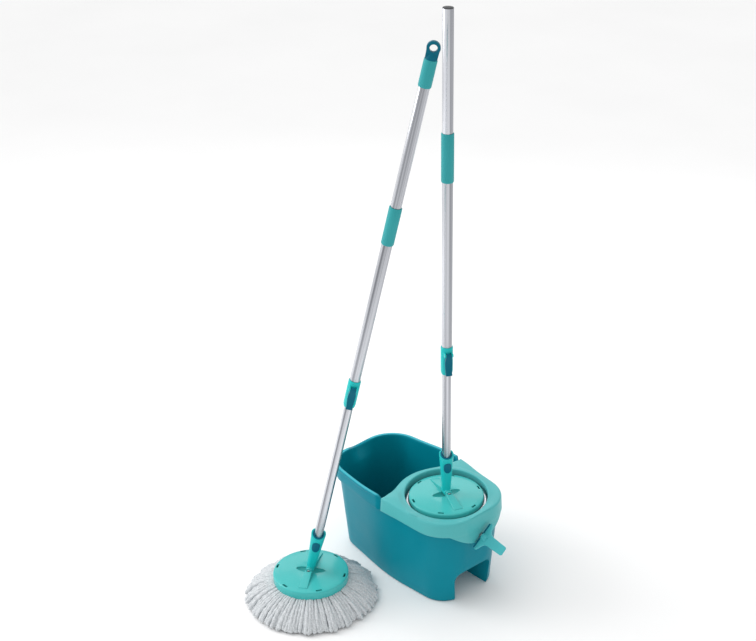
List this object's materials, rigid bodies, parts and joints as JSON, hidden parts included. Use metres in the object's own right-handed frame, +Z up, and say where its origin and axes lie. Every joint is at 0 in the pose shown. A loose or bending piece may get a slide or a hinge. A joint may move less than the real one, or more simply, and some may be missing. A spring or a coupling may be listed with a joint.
{
  "type": "spin mop",
  "caption": "Bucket with a spinning wringer basket, a disc mop standing in the basket and a second disc mop on the floor.",
  "frame": {"origin": "middle of the bucket's base, on the floor", "axes": "+Z up; +X along the bucket, towards the basket and the locking lever; -Y the side of the second mop"},
  "size_m": [0.4902, 0.555, 1.3442],
  "materials": {
    "tub_plastic": "satin moulded polypropylene",
    "insert_plastic": "satin moulded polypropylene",
    "head_plastic": "glossy moulded plastic",
    "lever_plastic": "satin moulded plastic",
    "socket_plastic": "satin moulded plastic",
    "dark_plastic": "satin moulded plastic",
    "grip_plastic": "soft matt plastic",
    "white_plastic": "matt",
    "plug_plastic": "matt",
    "steel": "turned",
    "basket_steel": "polished stainless sheet",
    "chrome": "polished",
    "tube_aluminium": "satin anodised",
    "yarn": "twisted microfibre yarn"
  },
  "bodies": {
    "tub": {"bucket_tub": "tub_plastic", "basket_spindle": "steel", "basket_bearing": "dark_plastic", "spindle_cap": "dark_plastic"},
    "insert": {"spin_insert": "insert_plastic"},
    "basket": {"spin_basket": "basket_steel", "basket_hub": "insert_plastic"},
    "lock_lever": {"lock_lever": "lever_plastic", "lock_spindle": "steel", "lock_cam": "dark_plastic"},
    "mop_a_head": {"mop_a_disc": "head_plastic", "mop_a_pad_ring": "white_plastic", "mop_a_fringe": "yarn", "mop_a_pin": "chrome"},
    "mop_a_stem": {"mop_a_socket": "socket_plastic", "mop_a_sleeve": "dark_plastic", "mop_a_lower_tube": "tube_aluminium"},
    "mop_a_nut": {"mop_a_drive_nut": "steel"},
    "mop_a_handle": {"mop_a_collar": "socket_plastic", "mop_a_lever_pin": "steel", "mop_a_mid_tube": "tube_aluminium", "mop_a_tube_joint": "steel", "mop_a_upper_tube": "tube_aluminium", "mop_a_mid_grip": "grip_plastic", "mop_a_end_plug": "plug_plastic"},
    "mop_a_button": {"mop_a_button": "dark_plastic"},
    "mop_a_clamp": {"mop_a_clamp_lever": "dark_plastic"},
    "mop_b_head": {"mop_b_disc": "head_plastic", "mop_b_pad_ring": "white_plastic", "mop_b_fringe": "yarn", "mop_b_pin": "chrome"},
    "mop_b_stem": {"mop_b_socket": "socket_plastic", "mop_b_sleeve": "dark_plastic", "mop_b_lower_tube": "tube_aluminium"},
    "mop_b_nut": {"mop_b_drive_nut": "steel"},
    "mop_b_handle": {"mop_b_collar": "socket_plastic", "mop_b_lever_pin": "steel", "mop_b_mid_tube": "tube_aluminium", "mop_b_tube_joint": "steel", "mop_b_upper_tube": "tube_aluminium", "mop_b_mid_grip": "grip_plastic", "mop_b_top_grip": "grip_plastic", "mop_b_hanging_eye": "dark_plastic"},
    "mop_b_button": {"mop_b_button": "dark_plastic"},
    "mop_b_clamp": {"mop_b_clamp_lever": "dark_plastic"}
  },
  "joints": [
    {"name": "insert_lift", "type": "slide", "parent": "tub", "child": "insert", "axis": [0, 0, 1], "range_m": [0, 0.06]},
    {"name": "basket_spin", "type": "hinge", "parent": "tub", "child": "basket", "pos_m": [0.093, 0, 0.1], "axis": [0, 0, 1], "continuous": true},
    {"name": "lock_lever_turn", "type": "hinge", "parent": "insert", "child": "lock_lever", "pos_m": [0.208, 0, 0.17], "axis": [0.9903, 0, -0.1392], "range_deg": [-45, 45]},
    {"name": "mop_a_lift", "type": "slide", "parent": "basket", "child": "mop_a_head", "axis": [0, 0, 1], "range_m": [0, 0.15]},
    {"name": "mop_a_tilt", "type": "hinge", "parent": "mop_a_head", "child": "mop_a_stem", "pos_m": [0.093, 0, 0.233], "axis": [0.9397, -0.342, 0], "range_deg": [-75, 0]},
    {"name": "mop_a_telescope", "type": "slide", "parent": "mop_a_stem", "child": "mop_a_nut", "axis": [0, 0, 1], "range_m": [-0.18, 0.2]},
    {"name": "mop_a_handle_spin", "type": "hinge", "parent": "mop_a_nut", "child": "mop_a_handle", "pos_m": [0.093, 0, 0.535], "axis": [0, 0, 1], "continuous": true},
    {"name": "mop_a_button_press", "type": "slide", "parent": "mop_a_stem", "child": "mop_a_button", "axis": [-0.866, 0.5, 0], "range_m": [0, 0.0018], "stiffness_N_per_m": 400, "springref_m": -0.001},
    {"name": "mop_a_clamp_turn", "type": "hinge", "parent": "mop_a_handle", "child": "mop_a_clamp", "pos_m": [0.10894, -0.0092, 0.587], "axis": [-0.5, -0.866, 0], "range_deg": [0, 100]},
    {"name": "mop_b_lift", "type": "slide", "parent": "tub", "child": "mop_b_head", "axis": [0, 0, 1], "range_m": [0, 0.1]},
    {"name": "mop_b_tilt", "type": "hinge", "parent": "mop_b_head", "child": "mop_b_stem", "pos_m": [-0.058, -0.277, 0.079], "axis": [0.5878, -0.809, 0], "range_deg": [0, 75]},
    {"name": "mop_b_telescope", "type": "slide", "parent": "mop_b_stem", "child": "mop_b_nut", "axis": [0.182, 0.1322, 0.9744], "range_m": [-0.25, 0.1]},
    {"name": "mop_b_handle_spin", "type": "hinge", "parent": "mop_b_nut", "child": "mop_b_handle", "pos_m": [0.02226, -0.21869, 0.5087], "axis": [0.182, 0.1322, 0.9744], "continuous": true},
    {"name": "mop_b_button_press", "type": "slide", "parent": "mop_b_stem", "child": "mop_b_button", "axis": [-0.7274, 0.6849, 0.0429], "range_m": [0, 0.0018], "stiffness_N_per_m": 400, "springref_m": -0.001},
    {"name": "mop_b_clamp_turn", "type": "hinge", "parent": "mop_b_handle", "child": "mop_b_clamp", "pos_m": [0.0451, -0.22442, 0.55858], "axis": [-0.6616, -0.7166, 0.2208], "range_deg": [0, 100]}
  ],
  "couplings": [
    {"joint": "mop_a_handle_spin", "follows": "basket_spin", "ratio": -1}
  ]
}
